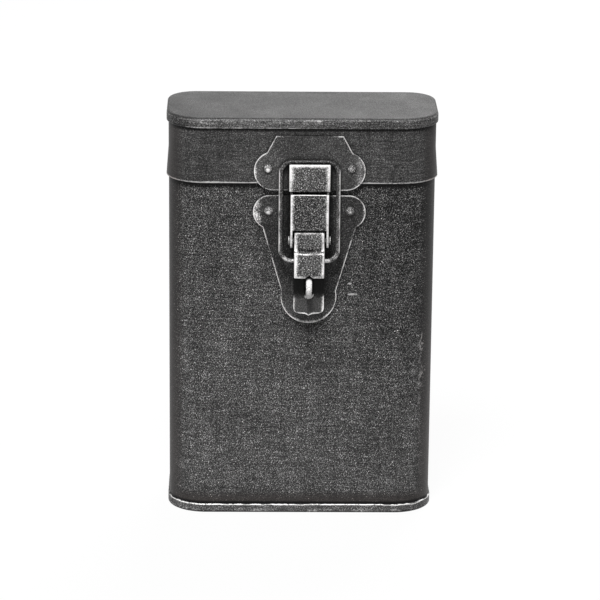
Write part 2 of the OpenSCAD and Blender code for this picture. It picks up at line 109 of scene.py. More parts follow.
class Level:
    """A number in a material: it can be added, multiplied and compared like a Python number."""

    def __init__(self, nodes, socket):
        self.nodes = nodes
        self.socket = socket

    def math(self, operation, *values, clamp=False):
        """A new number from an operation of the Math node."""
        node = self.nodes.node(
            "ShaderNodeMath", {"operation": operation, "use_clamp": clamp}, dict(enumerate(values))
        )
        return Level(self.nodes, node.outputs[0])

    def __add__(self, other):
        return self.math("ADD", self, other)

    def __radd__(self, other):
        return self.math("ADD", other, self)

    def __sub__(self, other):
        return self.math("SUBTRACT", self, other)

    def __rsub__(self, other):
        return self.math("SUBTRACT", other, self)

    def __mul__(self, other):
        return self.math("MULTIPLY", self, other)

    def __rmul__(self, other):
        return self.math("MULTIPLY", other, self)

    def __truediv__(self, other):
        return self.math("DIVIDE", self, other)

    def __pow__(self, other):
        return self.math("POWER", self, other)

    def __abs__(self):
        return self.math("ABSOLUTE", self)

    def larger(self, other):
        return self.math("MAXIMUM", self, other)

    def clamped(self):
        return self.math("ADD", self, 0.0, clamp=True)

    def rise(self, low, high):
        """Goes smoothly from 0 at low to 1 at high."""
        node = self.nodes.node(
            "ShaderNodeMapRange",
            {"interpolation_type": "SMOOTHSTEP"},
            {"Value": self, "From Min": low, "From Max": high},
        )
        return Level(self.nodes, node.outputs[0])

    def fall(self, low, high):
        """Goes smoothly from 1 at low to 0 at high."""
        return 1.0 - self.rise(low, high)


class Nodes:
    """The nodes of a material or of a world."""

    def __init__(self, owner):
        owner.use_nodes = True
        self.tree = owner.node_tree
        self.tree.nodes.clear()

    def node(self, kind, settings=None, sockets=None):
        """Adds a node, makes its settings and then fills or links its sockets."""
        node = self.tree.nodes.new(kind)
        for name, value in (settings or {}).items():
            setattr(node, name, value)
        for key, value in (sockets or {}).items():
            source = value.socket if isinstance(value, Level) else value
            if isinstance(source, bpy.types.NodeSocket):
                self.tree.links.new(source, node.inputs[key])
            else:
                node.inputs[key].default_value = source
        return node

    def ray_is(self, *kinds):
        """1 for rays of these kinds, such as Is Camera Ray, and 0 for others."""
        path = self.node("ShaderNodeLightPath")
        seen = Level(self, path.outputs[kinds[0]])
        for kind in kinds[1:]:
            seen = seen.larger(Level(self, path.outputs[kind]))
        return seen


class Finish(Nodes):
    """One procedural material and the nodes that make it."""

    def __init__(self, name):
        self.material = bpy.data.materials.new(name)
        super().__init__(self.material)
        self.places = self.node("ShaderNodeTexCoord").outputs["Object"]

    def stretched(self, x, y, z, origin):
        """The place on the piece, moved by origin and scaled along each axis."""
        moved = self.node("ShaderNodeVectorMath", {"operation": "ADD"}, {0: self.places, 1: origin})
        return self.node(
            "ShaderNodeVectorMath", {"operation": "MULTIPLY"}, {0: moved.outputs[0], 1: (x, y, z)}
        ).outputs[0]

    def axis(self, name):
        """One coordinate of the place on the piece, in metres."""
        split = self.node("ShaderNodeSeparateXYZ", None, {0: self.places})
        return Level(self, split.outputs[name])

    def noise(self, size, stretch=(1.0, 1.0, 1.0), detail=2.0, rough=0.5, seed=0.0):
        """Soft random patches about size metres wide, drawn out along the stretched axes."""
        scale = [1.0 / (size * part) for part in stretch]
        place = self.stretched(*scale, origin=(seed, seed * 0.7, seed * 0.3))
        if min(stretch) == max(stretch):
            # turned, so that no flat wall lies along the noise's own grid, where it is weak
            place = self.node(
                "ShaderNodeVectorRotate", {"rotation_type": "AXIS_ANGLE"},
                {"Vector": place, "Axis": (0.62, 0.48, 0.62), "Angle": 0.9},
            ).outputs[0]
        node = self.node(
            "ShaderNodeTexNoise",
            {"noise_dimensions": "3D"},
            {"Vector": place, "Scale": 1.0, "Detail": detail, "Roughness": rough},
        )
        return Level(self, node.outputs["Fac"])

    def uneven(self, size, **noise):
        """The same patches, but around 0."""
        return self.noise(size, **noise) - 0.5

    def mix(self, factor, first, second):
        """A colour between two colours."""
        colours = {0: factor, 6: first, 7: second}
        return self.node("ShaderNodeMix", {"data_type": "RGBA"}, colours).outputs[2]

    def facing_front(self):
        """1 on faces that look forward on the closed box, 0 on its other faces."""
        normal = self.node("ShaderNodeTexCoord").outputs["Normal"]
        split = self.node("ShaderNodeSeparateXYZ", None, {0: normal})
        return (0.0 - Level(self, split.outputs["Y"])).rise(0.2, 0.6)

    def open_air(self, reach):
        """1 where nothing is near the surface, falling to 0 in its crevices."""
        node = self.node("ShaderNodeAmbientOcclusion", {"samples": 6}, {"Distance": reach})
        return Level(self, node.outputs["AO"]).rise(0.35, 0.95)

    def edges(self, radius, low, high):
        """1 along the edges of the piece and 0 on its open faces."""
        soft = self.node("ShaderNodeBevel", {"samples": 6}, {"Radius": radius})
        flat = self.node("ShaderNodeNewGeometry").outputs["Normal"]
        dot = self.node("ShaderNodeVectorMath", {"operation": "DOT_PRODUCT"}, {0: soft.outputs[0], 1: flat})
        return (1.0 - Level(self, dot.outputs["Value"])).rise(low, high)

    def surface(self, colour, metallic, roughness, gloss, height, depth):
        """Ends the material: a shader with its colour, metal, roughness, sheen and relief."""
        bump = self.node("ShaderNodeBump", None, {"Height": height, "Distance": depth, "Strength": 1.0})
        shader = self.node(
            "ShaderNodeBsdfPrincipled",
            None,
            {"Base Color": colour, "Metallic": metallic, "Roughness": roughness, "Specular IOR Level": gloss,
             "Normal": bump.outputs[0]},
        )
        self.node("ShaderNodeOutputMaterial", None, {0: shader.outputs[0]})
        return self.material


def colour_prop(name, description, default):
    return bpy.props.FloatVectorProperty(
        name=name, description=description, subtype="COLOR", size=3, min=0.0, max=1.0, default=default
    )


def share_prop(name, description, default):
    return bpy.props.FloatProperty(
        name=name, description=description, subtype="FACTOR", min=0.0, max=1.0, default=default
    )


def length_prop(name, description, default):
    return bpy.props.FloatProperty(
        name=name, description=description, subtype="DISTANCE", unit="LENGTH", min=0.0, default=default
    )


def unit_prop(name, description, default, unit):
    return bpy.props.FloatProperty(name=name, description=description, unit=unit, default=default)


class TinFinishSettings(bpy.types.PropertyGroup):
    """Tones and wear of the tin and of its latch."""

    wall_tone: share_prop("Wall tone", "Brightness of the walls' paint, as the eye sees it", 0.25)
    plate_tone: share_prop("Plate tone", "Brightness of the latch plates' paint, as the eye sees it", 0.15)
    tint: colour_prop("Tint", "Cast of the gunmetal", (1.0, 0.985, 0.98))
    # painted reflection: the browner cast at the corners stands in for brown surroundings reflected there
    corner_reflection_tint: colour_prop("Corner tint", "Browner cast towards the rounded corners", (1.0, 0.90, 0.87))
    gloss: share_prop("Gloss", "Strength of the paint's sheen", 0.14)
    grain: length_prop("Grain", "Width of one speck of the brushed silver", 0.36 * MM)
    relief: length_prop("Relief", "Height of the brush marks", 0.02 * MM)


class StageSettings(bpy.types.PropertyGroup):
    """Camera, lamps and floor."""

    floor_size: length_prop("Floor", "Width of the floor", 12.0)
    lens: unit_prop("Lens", "Focal length for a 36 mm sensor", 192.6, "CAMERA")
    key_power: unit_prop("Key", "Power of the overhead lamp", 40.5, "POWER")
    back_power: unit_prop("Back", "Power of the lamp behind", 24.0, "POWER")
    sky: share_prop("Surround", "Brightness of the white surround", 0.11)


def wear():
    """The finish's settings."""
    return bpy.context.scene.tin_finish


def dress(node, material):
    """Gives a carried-over CAD node its material."""
    materials = frame["nodes"][node].data.materials
    materials.clear()
    materials.append(material)


def soften(node, width, segments):
    """Rounds the crisp edges of a CAD node by modifiers, the way pressed sheet is rounded."""
    obj = frame["nodes"][node]
    weld = obj.modifiers.new("join_corners", "WELD")
    weld.merge_threshold = 0.002 * MM
    flat = obj.modifiers.new("join_flats", "DECIMATE")
    flat.decimate_type = "DISSOLVE"
    flat.angle_limit = math.radians(0.4)
    bevel = obj.modifiers.new("round_edges", "BEVEL")
    bevel.width = width
    bevel.segments = segments
    bevel.limit_method = "ANGLE"
    bevel.angle_limit = math.radians(40.0)
    bevel.harden_normals = True


def brushed_tone(finish, middle, grain, streaks, clouds, size, calm_and_reflection):
    """Brightness as the eye sees it: fine grain, level brush streaks, upright bands and soft clouds."""
    width = wear().grain * size
    fine = finish.uneven(width, detail=1.0, rough=0.9)
    rows = finish.uneven(width * 1.3, stretch=(STREAK_DRAWN, STREAK_DRAWN, 1.0), rough=0.7, seed=0.31)
    columns = finish.uneven(BAND_SIZE, stretch=(1.0, 1.0, BAND_DRAWN), rough=0.6, seed=0.77)
    cloud = finish.uneven(CLOUD_SIZE, detail=3.5, rough=0.6, seed=0.13)
    brush = (rows + columns * 0.45) * streaks
    mark = fine * grain + brush + cloud * clouds
    speckle = fine + brush * 0.8 + cloud * clouds * 1.1
    if calm_and_reflection is not None:
        mark = mark * (1.0 - calm_and_reflection * 0.6)
        speckle = speckle - calm_and_reflection * 0.14
    return mark + middle, fine, speckle


def worn_tin(finish, middle, grain=0.72, streaks=0.20, clouds=0.07, size=1.0, calm_and_reflection=None, specks=0.30,
             sparkle=0.0, shade=0.0, crevice=0.6, rub=None, edge=None, edge_share=1.0, bright=0.9,
             rub_stretch=1.0, rub_fade=(0.40, 0.85), breaks=1.2):
    """Gunmetal paint, brushed over with silver, rubbed bright at its edges, dark in its hollows as painted
    shade and where no brush reached.

    middle is its brightness as the eye sees it, and shade is added to it. grain, streaks, clouds, specks and
    sparkle say how strongly each kind of mark shows, and size how large the grain is. Where
    calm_and_reflection is 1 the paint is plainer and browner, the browner cast a painted reflection. crevice
    is how much the hollows are darkened, a painted shade. Where rub is 1, and by edge_share along the edges
    that edge finds, the paint is rubbed through to metal as bright as bright; some rub masks also carry
    painted highlights. rub_stretch draws its gaps out sideways, rub_fade sets how ragged it is and breaks how
    often it stops.
    """
    s = wear()
    tone, fine, speckle = brushed_tone(finish, middle, grain, streaks, clouds, size, calm_and_reflection)
    tone = tone + shade
    tone = tone + (speckle - 0.05).rise(0.0, 0.16) * specks
    if sparkle:
        points = finish.noise(s.grain * 1.5, detail=0.0, seed=0.63) + speckle * 0.5
        tone = tone + points.rise(0.78, 0.86) * sparkle
    if edge:
        line = finish.edges(*edge) * edge_share
        rub = line if rub is None else rub.larger(line)
    # painted shade: the tone darkens where other surfaces are near, as ambient occlusion
    if crevice:
        tone = tone * (finish.open_air(CREVICE_REACH) * crevice + (1.0 - crevice))
    metal = 0.0
    if rub is not None:
        fine_breaks = finish.uneven(RUB_GRAIN, stretch=(rub_stretch, rub_stretch, 1.0), rough=0.8, seed=0.5)
        long_breaks = finish.uneven(RUB_BREAK, seed=0.9)
        ragged = (rub + fine_breaks * 1.1 + long_breaks * breaks).rise(*rub_fade) * rub.rise(0.05, 0.25)
        tone = tone * (1.0 - ragged) + ragged * bright
        metal = ragged * 0.3
    tint = (*s.tint, 1.0)
    # the browner cast where calm_and_reflection is 1 is a painted reflection
    if calm_and_reflection is not None:
        tint = finish.mix(calm_and_reflection, tint, (*s.corner_reflection_tint, 1.0))
    colour = finish.mix((tone.larger(DARKEST) ** EYE_POWER).clamped(), BLACK, tint)
    return finish.surface(colour, metal, PAINT_ROUGHNESS - fine * 0.2, s.gloss, fine, s.relief)


def side_rub(finish, node, sides, top=0.0, front=True):
    """Fades in towards the sides and the top of a piece, over bands of these widths."""
    low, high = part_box(node)
    middle, half = (low.x + high.x) / 2, (high.x - low.x) / 2
    mask = abs(finish.axis("X") - middle).rise(half - sides, half) ** 2.2
    if top:
        mask = mask.larger(finish.axis("Z").rise(high.z - top, high.z) ** 1.7)
    if front:
        mask = mask * finish.facing_front()
    return mask


def corner_band(finish):
    """1 in the rounded corners of the box and 0 on its flats."""
    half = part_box("body_wall")[1].x
    return abs(finish.axis("X")).rise(half - 6.8 * MM, half - 0.8 * MM)


def level_line(finish, height, width, fade):
    """1 in a level line of a width round the piece, fading over another width on both sides."""
    return abs(finish.axis("Z") - height).fall(width / 2, width / 2 + fade)


def side_shade(finish, strength):
    """The left of the box a little lighter than its right."""
    return finish.axis("X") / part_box("body_wall")[1].x * strength * -1.0


def front_half(finish):
    """1 on the front half of the box and 0 behind."""
    return finish.axis("Y").fall(-2 * MM, 0.0)


def squared_reach(beside, above):
    """The squared distance from the middle of a round patch."""
    return (beside ** 2.0) + (above ** 2.0)


def scratches(finish, places):
    """1 in small scratches on the front, each given by its middle (x, z) and half sizes in millimetres."""
    marks = None
    for x, z, half_width, half_height in places:
        beside = (finish.axis("X") - x * MM) / (half_width * MM)
        above = (finish.axis("Z") - z * MM) / (half_height * MM)
        mark = squared_reach(beside, above).fall(0.2, 1.0)
        marks = mark if marks is None else marks.larger(mark)
    return marks * front_half(finish)


class TIN_OT_walls(bpy.types.Operator):
    """Finishes the body wall, the base plate and the inner collar"""

    bl_idname = "tin_box.walls"
    bl_label = "Walls and base"

    def execute(self, context):
        tone = wear().wall_tone
        self.body(Finish("wall_tin"), tone - 0.08)
        self.base(Finish("base_tin"), tone + 0.02)
        collar = worn_tin(Finish("collar_tin"), COLLAR_TONE, grain=0.15, streaks=0.2, specks=0.1)
        dress("neck_collar", collar)
        return {"FINISHED"}

    def body(self, finish, tone):
        """Painted light and shade: lighter below and to the left, darker to the upper right, dark under the
        hem and over the base, and browner at its corners as a painted reflection.
        """
        across, height = finish.axis("X"), finish.axis("Z")
        hem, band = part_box("lid_skirt")[0].z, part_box("base_plate")[1].z
        right = across.rise(-10 * MM, 50 * MM)
        # painted light and shade: lighter towards the bottom, as from light thrown up off the floor, and
        # darker to the upper right
        painted_light_and_shade = (1.0 - height / LOW_LIGHT_UP_TO).clamped() * (right * 0.07 + 0.075) - right * 0.06
        # painted shade: a dark band under the hem's overhang, a dark line just above the base band and a
        # faint darkening above that
        painted_shade = height.rise(hem - 2.6 * MM, hem - 1.0 * MM) * 0.27
        painted_shade = painted_shade + height.fall(band + 0.3 * MM, band + 1.6 * MM) * 0.22
        painted_shade = painted_shade + height.fall(band + 2 * MM, band + 12 * MM) * 0.03
        corners = corner_band(finish)
        wander = finish.uneven(3 * MM, detail=4.0, rough=0.75, seed=0.45) * (7 * MM)
        beside = across + wander - WORN_CORNER_X
        worn = abs(beside).fall(0.1 * MM, 1.3 * MM) * height.rise(*WORN_CORNER_START)
        worn = worn * height.fall(*WORN_CORNER_END) * front_half(finish) * 0.58
        worn = worn.larger(scratches(finish, BODY_SCRATCHES) * 0.72)
        calm_and_reflection = corners.larger(height.fall(band + 1.5 * MM, band + 6.5 * MM))
        # painted shade on the left corner and painted light on the right corner
        shade = side_shade(finish, 0.008 - corners * 0.035) + painted_light_and_shade - painted_shade
        dress("body_wall", worn_tin(finish, tone, calm_and_reflection=calm_and_reflection, rub=worn, bright=0.62, sparkle=0.36,
                                    shade=shade))

    def base(self, finish, tone):
        """A bright wavering line round its top edge, and a fainter one below, both fading to the back."""
        low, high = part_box("base_plate")
        wander = finish.uneven(5 * MM, detail=3.0, rough=0.7, seed=0.2) * (1.3 * MM)
        rub = level_line(finish, high.z - 0.22 * MM + wander, 0.15 * MM, 0.35 * MM) * 0.80
        rub = rub.larger(level_line(finish, low.z + 1.1 * MM, 0.5 * MM, 1.0 * MM) * 0.46)
        rub = rub * (1.0 - finish.axis("Y").rise(-16 * MM, -6 * MM) * 0.45)
        dress("base_plate", worn_tin(finish, tone, grain=0.6, streaks=0.1, rub=rub, bright=0.85,
                                     rub_stretch=1.3, breaks=0.8))
        soften("base_plate", 0.15 * MM, 2)


class TIN_OT_lid(bpy.types.Operator):
    """Finishes the lid's skirt and its rolled top"""

    bl_idname = "tin_box.lid"
    bl_label = "Lid"

    def execute(self, context):
        tone = wear().wall_tone
        self.skirt(Finish("skirt_tin"), tone - 0.06)
        # the top's tone is lighter than the walls', partly a painted sheen of the white surroundings seen at
        # a grazing angle
        self.top(Finish("top_tin"), tone - 0.018, tone - 0.045)
        return {"FINISHED"}

    def skirt(self, finish, tone):
        """A bright line along its hem, a painted shadow under the rim, and plainer corners with a browner
        painted reflection.
        """
        wander = finish.uneven(9 * MM, seed=0.2) * (1.0 * MM)
        rub = level_line(finish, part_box("lid_skirt")[0].z + 0.2 * MM + wander, 0.6 * MM, 0.5 * MM) * 0.8
        rub = rub.larger(scratches(finish, SKIRT_SCRATCHES) * 0.4)
        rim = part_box("lid_top")[0].z
        # painted shadow: a dark line on the skirt just under the rim
        under_rim_shadow = finish.axis("Z").rise(rim - 1.5 * MM, rim - 0.3 * MM) * 0.14
        corners = corner_band(finish)
        shade = side_shade(finish, 0.003) - corners * 0.01 - under_rim_shadow
        dress("lid_skirt", worn_tin(finish, tone, calm_and_reflection=corners, specks=0.17, grain=0.45, shade=shade, rub=rub,
                                    bright=0.66, rub_stretch=1.6, breaks=0.6))
        soften("lid_skirt", 0.15 * MM, 2)

    def top(self, finish, top_tone_with_sheen, rim_tone):
        """A plain top, painted lighter to its right as a sheen, and a speckled rim, rubbed along three lines
        and more on its left, with painted shade in the crease at its top edge.
        """
        low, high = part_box("lid_top")
        patches = finish.noise(30 * MM, seed=0.6).rise(0.38, 0.62)
        across = finish.axis("X")
        left = across.fall(-12 * MM, 30 * MM) * across.rise(-50 * MM, -44 * MM)
        along = patches * 0.12 + left * 0.28 + 0.14
        rub = level_line(finish, high.z - 1.7 * MM, 0.8 * MM, 1.4 * MM) * along
        # the line under the rim's top edge is wear and also a painted highlight on the rolled edge
        rub = rub.larger(level_line(finish, high.z - 1.0 * MM, 0.3 * MM, 0.45 * MM) * (patches * 0.12 + 0.42))
        rub = rub.larger(level_line(finish, low.z + 0.25 * MM, 0.3 * MM, 0.4 * MM) * (left * 0.25 + 0.4))
        rim = finish.axis("Z").fall(high.z - 0.9 * MM, high.z - 0.1 * MM)
        # painted shade: a dark line in the crease along the rim's top edge
        crease = level_line(finish, high.z - 0.34 * MM, 0.2 * MM, 0.16 * MM)
        rim_lift = rim * (rim_tone - top_tone_with_sheen) - crease * 0.08 + rim * left * 0.07
        # painted sheen: the top is lighter to its right
        dress("lid_top", worn_tin(finish, top_tone_with_sheen, grain=rim * 0.2 + 0.65, streaks=rim * 0.15 + 0.12,
                                  clouds=0.12, specks=rim * 0.1, shade=rim_lift - side_shade(finish, 0.026),
                                  rub=rub * rim, bright=0.66, rub_stretch=1.6, breaks=0.6))


class TIN_OT_plates(bpy.types.Operator):
    """Finishes the two latch plates and the hinge leaves"""

    bl_idname = "tin_box.plates"
    bl_label = "Plates and hinge leaves"

    def execute(self, context):
        for node, lift in PLATE_TONES:
            finish = Finish("plate_" + node)
            low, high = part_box(node)
            away = finish.axis("X") - (low.x + high.x) / 2
            shade = side_rub(finish, node, 9 * MM, front=False) * 0.05
            rub = side_rub(finish, node, 3.8 * MM, front=False) * 0.7
            share = abs(away).rise(7 * MM, 12 * MM) * 0.6 + 0.35
            if node == "catch_plate":
                rub = rub.larger(finish.axis("X").rise(high.x - 11 * MM, high.x - 1 * MM) * 0.5)
            if node == "latch_base_plate":
                foot, rub, share = self.lower_plate(finish, away, low, high, rub, share)
                shade = shade + foot * 0.10
            uneven = finish.noise(7 * MM, detail=1.0, seed=0.4).rise(0.35, 0.65) * 0.55 + 0.62
            # painted shade: the plates darker inside the wire loop's outline
            shade = shade - self.shade_inside_loop(finish, away) * 0.09
            dress(node, worn_tin(finish, wear().plate_tone + lift, grain=0.45, streaks=0.04, clouds=0.15,
                                 specks=0.16, shade=shade, edge=PLATE_EDGE, edge_share=share * uneven,
                                 rub=rub, bright=0.88, breaks=0.7))
        return {"FINISHED"}

    def shade_inside_loop(self, finish, away):
        """1 inside the wire loop's outline, where the plates are painted darker as shade."""
        low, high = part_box("wire_loop")
        height = finish.axis("Z")
        behind = abs(away).fall(8.6 * MM, 10.2 * MM) * height.rise(low.z, low.z + 4 * MM)
        return behind * height.fall(high.z - 3 * MM, high.z - 1 * MM)

    def lower_plate(self, finish, away, low, high, rub, share):
        """The lower plate's foot, and its wear at the left ear, the left edge and round the foot."""
        height, across = finish.axis("Z"), finish.axis("X")
        ear = height.rise(high.z - 19 * MM, high.z - 14 * MM) * across.fall(low.x + 0.5 * MM, low.x + 7 * MM)
        rub = rub.larger(ear * 0.6)
        foot = height.fall(low.z + 5 * MM, low.z + 13 * MM)
        below = height.fall(high.z - 20 * MM, high.z - 15 * MM)
        left = across.fall(-14 * MM, -6 * MM)
        share = share.larger(below * (left * 0.4 + 0.66)).larger(foot * 1.1)
        up = height - (low.z + FOOT_RADIUS)
        reach = squared_reach(away, up) ** 0.5
        rub = rub.larger(reach.rise(FOOT_RADIUS - 3.5 * MM, FOOT_RADIUS) ** 2.0 * foot * 0.69)
        return foot, rub, share


class TIN_OT_pressings(bpy.types.Operator):
    """Finishes the hook and the pivot bracket"""

    bl_idname = "tin_box.pressings"
    bl_label = "Hook and bracket"

    def execute(self, context):
        soften("catch_hook", 0.35 * MM, 3)
        soften("pivot_bracket", 0.3 * MM, 3)
        self.pressing("catch_hook", 0.09, 5.0 * MM, 3.0 * MM)
        self.pressing("pivot_bracket", 0.03, 3.8 * MM, 0.9 * MM)
        return {"FINISHED"}

    def pressing(self, node, lift, side, top):
        """Rubbed bright towards its sides and its top, over these widths, and rounded once more."""
        finish = Finish("rubbed_" + node)
        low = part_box(node)[0]
        share = finish.axis("Z").rise(low.z + 0.5 * MM, low.z + 2.5 * MM) * 0.6
        dress(node, worn_tin(finish, wear().plate_tone + lift, grain=0.9, streaks=0.0, specks=0.38, size=1.1,
                             rub=side_rub(finish, node, side, top), edge=SMALL_EDGE, edge_share=share,
                             bright=0.92, crevice=0.45, breaks=0.7, rub_fade=(0.25, 1.05)))
        soften(node, 0.35 * MM, 3)


def new_piece(name, body, shape, slot, *replaced):
    """Makes a piece from a bmesh, smooth but for its crisp edges, and lets it ride on a body."""
    bmesh.ops.recalc_face_normals(shape, faces=shape.faces)
    mesh = bpy.data.meshes.new(name)
    shape.to_mesh(mesh)
    shape.free()
    mesh.shade_smooth()
    mesh.set_sharp_from_angle(angle=math.radians(38.0))
    piece = bpy.data.objects.new(name, mesh)
    bpy.context.scene.collection.objects.link(piece)
    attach(piece, body)
    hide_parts(*replaced)
    return piece


def join_rows(shape, first, second):
    """A strip of faces between two rows of vertices with the same count."""
    for i in range(len(first) - 1):
        shape.faces.new((first[i], first[i + 1], second[i + 1], second[i]))


def skin(shape, rows):
    """Covers rows of points, all with the same count, with faces; returns the rows of its vertices."""
    verts = [[shape.verts.new(point) for point in row] for row in rows]
    for first, second in zip(verts, verts[1:]):
        join_rows(shape, first, second)
    return verts


def channel_row(half, radius, front, back, steps=4, across=17):
    """Points (across, out) round an open channel, from one flange over its round corners to the other."""
    radius = min(radius, max(front - back, 0.02) * 0.9)
    left = [(-half, back), (-half, (back + front - radius) / 2)]
    for i in range(steps + 1):
        turn = math.pi / 2 * i / steps
        left.append((-half + radius * (1 - math.cos(turn)), front - radius * (1 - math.sin(turn))))
    flat = half - radius
    middle = [(-flat + 2 * flat * i / (across + 1), front) for i in range(1, across + 1)]
    return left + middle + [(-x, y) for x, y in reversed(left)]


class LeverShape:
    """Sizes of the lever in millimetres: across it, out from its pivot and up from it."""

    half = 6.15
    sheet = 0.9
    outer_round, inner_round = 0.9, 0.3
    lip, inner_lip = -14.8, -13.9
    # (up, out) down the front: the head's round, the upper face, the valley, the ledge and the lower face
    front = ((4.0, 1.72), (3.94, 2.06), (3.74, 2.32), (3.4, 2.47), (3.0, 2.5), (1.0, 2.5), (-1.2, 2.48),
             (-2.4, 2.40), (-3.0, 2.34), (-3.4, 2.5), (-3.7, 3.0), (-3.95, 3.75), (-4.15, 4.18), (-4.5, 4.36),
             (-5.2, 4.4), (-8.5, 4.38), (-11.8, 4.34), (-13.6, 4.4), (-14.4, 4.34), (-14.7, 4.18), (lip, 3.9),
             (lip, 1.6), (lip, -0.7))
    flange_back = -3.0
    flange_top, flange_bottom = 2.0, -13.0
    crease_up, crease_spread, crease_dip = -3.8, 1.3, 0.55
    notch_half, notch_height = 1.75, 1.2
    tail_top, tail_low, tail_front, tail_back, tail_corner = -13.95, -30.9, -0.7, -1.6, 2.0
    tail_point = ((-1.5, 0.0), (-0.8, 0.35), (0.0, 1.2), (0.8, 0.35), (1.5, 0.0))
    tail_round = 0.22
    slot_low, slot_half = -24.5, 1.8

    @classmethod
    def back(cls, up):
        """How far the flanges reach back at a height."""
        if up > cls.flange_top:
            return cls.flange_back + (up - cls.flange_top) * 1.5
        if up > cls.flange_bottom:
            return cls.flange_back
        return cls.flange_back + (cls.flange_bottom - up) / 1.8 * 1.4

    @classmethod
    def lift(cls, across, up):
        """The crease sags in its middle, and the lower lip has a small notch there."""
        spread = math.exp(-(((up - cls.crease_up) / cls.crease_spread) ** 2))
        sag = cls.crease_dip * (1 - (across / cls.half) ** 2) * spread
        peak = 0.0
        if up < cls.flange_bottom:
            peak = cls.notch_height * max(0.0, 1 - abs(across) / cls.notch_half)
        return peak - sag


def lever_shell(shape, place):
    """The lever's hood: an outer and an inner skin of pressed sheet, joined along their edges."""
    size = LeverShape
    outer, inner = [], []
    for up, out in size.front:
        back = size.back(up)
        row = channel_row(size.half, size.outer_round, out, min(back, out - 0.05))
        outer.append([place(x, y, up + size.lift(x, up)) for x, y in row])
        row = channel_row(size.half - size.sheet, size.inner_round, max(out - size.sheet, back + 0.02),
                          min(back, out - 0.05))
        inner.append([place(x, y, max(up, size.inner_lip) + size.lift(x, up)) for x, y in row])
    outer, inner = skin(shape, outer), skin(shape, inner)
    join_rows(shape, outer[0], inner[0])
    join_rows(shape, outer[-1], inner[-1])
    join_rows(shape, [row[0] for row in outer], [row[0] for row in inner])
    join_rows(shape, [row[-1] for row in outer], [row[-1] for row in inner])


def arc(x, y, radius, start, end, steps):
    """Points on an arc, its angles in degrees."""
    turns = [math.radians(start + (end - start) * i / steps) for i in range(steps + 1)]
    return [(x + radius * math.cos(turn), y + radius * math.sin(turn)) for turn in turns]


def lever_tail(shape, place):
    """The thin tail under the hood: a slotted plate with round corners, a small point and softened edges."""
    size = LeverShape
    half, low, corner = size.half, size.tail_low, size.tail_corner
    outline = [(-half, size.tail_top)] + arc(-half + corner, low + corner, corner, 180, 270, 6)
    outline += [(x, low - drop) for x, drop in size.tail_point]
    outline += arc(half - corner, low + corner, corner, -90, 0, 6)
    outline += [(half, size.tail_top), (size.slot_half, size.tail_top)]
    outline += arc(0, size.slot_low + size.slot_half, size.slot_half, 0, -180, 10)
    outline += [(-size.slot_half, size.tail_top)]
    depths = (size.tail_back, size.tail_front)
    rims = [[shape.verts.new(place(x, out, up)) for x, up in outline] for out in depths]
    faces = [shape.faces.new(rims[0]), shape.faces.new(list(reversed(rims[1])))]
    join_rows(shape, rims[0] + rims[0][:1], rims[1] + rims[1][:1])
    edges = [edge for face in faces for edge in face.edges]
    bmesh.ops.bevel(shape, geom=edges, offset=size.tail_round * MM, segments=2, affect="EDGES", profile=0.5)


class TIN_OT_lever(bpy.types.Operator):
    """Builds the lever: a pressed hood with a sagging crease and a slotted tail"""

    bl_idname = "tin_box.lever"
    bl_label = "Lever"

    def execute(self, context):
        pivot = Vector(next(joint["pos_m"] for joint in frame["joints"] if joint["name"] == "lever_pivot"))

        def place(across, out, up):
            return pivot + Vector((across, -out, up)) * MM

        shape = bmesh.new()
        lever_shell(shape, place)
        lever_tail(shape, place)
        piece = new_piece("pressed_lever", "lever", shape, "latch_pressing", "lever")
        piece.data.materials.append(self.finish(pivot))
        return {"FINISHED"}

    def finish(self, pivot):
        """Rubbed at the hood's sides, head and lip and round the tail; a painted highlight along the step
        under the crease, painted shade in the fold above it, and the upper tail darkened as a painted shadow
        of the hood.
        """
        size = LeverShape
        finish = Finish("rubbed_lever")
        up = finish.axis("Z") - pivot.z
        away = abs(finish.axis("X") - pivot.x)
        hood = up.rise(-15.3 * MM, -14.6 * MM)
        sides = away.rise(2.3 * MM, size.half * MM) ** 2.0
        lip = up.fall(size.lip * MM, -11.8 * MM) ** 1.6 * hood
        head = up.rise(1.8 * MM, 4.0 * MM) ** 1.5
        sagging_up = up + (1.0 - (away / (size.half * MM)) ** 2.0) * (size.crease_dip * MM)
        # painted highlight along the step's edge where it catches the light, and painted shade in the fold
        # above it
        ledge_highlight = abs(sagging_up + 4.2 * MM).fall(0.15 * MM, 0.75 * MM)
        valley_shade = abs(sagging_up + 2.9 * MM).fall(0.2 * MM, 1.0 * MM)
        rub = sides.larger(lip * 0.9).larger(head * 0.7).larger(ledge_highlight * 0.56) * hood * finish.facing_front()
        low_tail = up.fall(-25.5 * MM, -21.0 * MM)
        tail_edges = finish.edges(*TAIL_EDGE) * low_tail * 1.2
        rub = rub.larger(tail_edges.larger(away.rise(4.4 * MM, 6.0 * MM) * low_tail * 0.8))
        # painted shadow: the upper tail under the hood is darkened, less towards its low end
        shade = valley_shade * -0.22 - (1.0 - hood) * (0.25 - low_tail * 0.26)
        return worn_tin(finish, wear().plate_tone + 0.11, grain=hood * 0.55 + 0.35, streaks=0.0,
                        specks=hood * 0.32 + 0.06, size=1.1, rub=rub, rub_fade=(0.25, 1.05), bright=0.95,
                        crevice=0.35, shade=shade)


